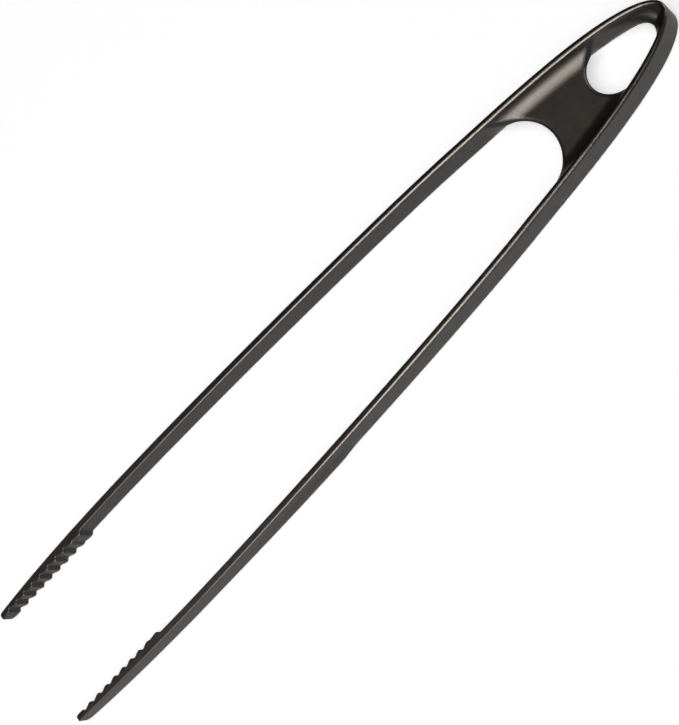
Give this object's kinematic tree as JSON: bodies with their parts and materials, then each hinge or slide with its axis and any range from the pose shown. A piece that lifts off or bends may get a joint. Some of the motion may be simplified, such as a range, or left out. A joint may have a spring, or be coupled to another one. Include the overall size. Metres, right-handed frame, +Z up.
{
  "type": "spring loaded kitchen tongs",
  "caption": "One-piece moulded kitchen tongs: a bowed head with a web bridge and hanging hole springs two long flat arms apart, each ending in a saw-toothed jaw.",
  "frame": {"origin": "centre of the bounding box's underside, with the tongs lying flat on their lower edges", "axes": "+X across the arms, +Y along the tongs from the jaws to the bow, +Z up through the strips' edges"},
  "size_m": [0.0494, 0.2924, 0.0137],
  "materials": {
    "nylon": "satin black nylon, fine moulded grain"
  },
  "bodies": {
    "head": {"bow_crown": "nylon", "bridge_web": "nylon", "left_bow_side": "nylon", "right_bow_side": "nylon", "left_root": "nylon", "right_root": "nylon"},
    "left_arm": {"left_spring": "nylon", "left_grip": "nylon", "left_shank": "nylon", "left_jaw": "nylon"},
    "right_arm": {"right_spring": "nylon", "right_grip": "nylon", "right_shank": "nylon", "right_jaw": "nylon"}
  },
  "joints": [
    {"name": "right_flex", "type": "hinge", "parent": "head", "child": "right_arm", "pos_m": [0.01704, 0.0691, 0.00622], "axis": [0, 0, -1], "range_deg": [-2, 5.6], "stiffness_Nm_per_rad": 2},
    {"name": "left_flex", "type": "hinge", "parent": "head", "child": "left_arm", "pos_m": [-0.01704, 0.0691, 0.00622], "axis": [0, 0, 1], "range_deg": [-2, 5.6], "stiffness_Nm_per_rad": 2}
  ]
}
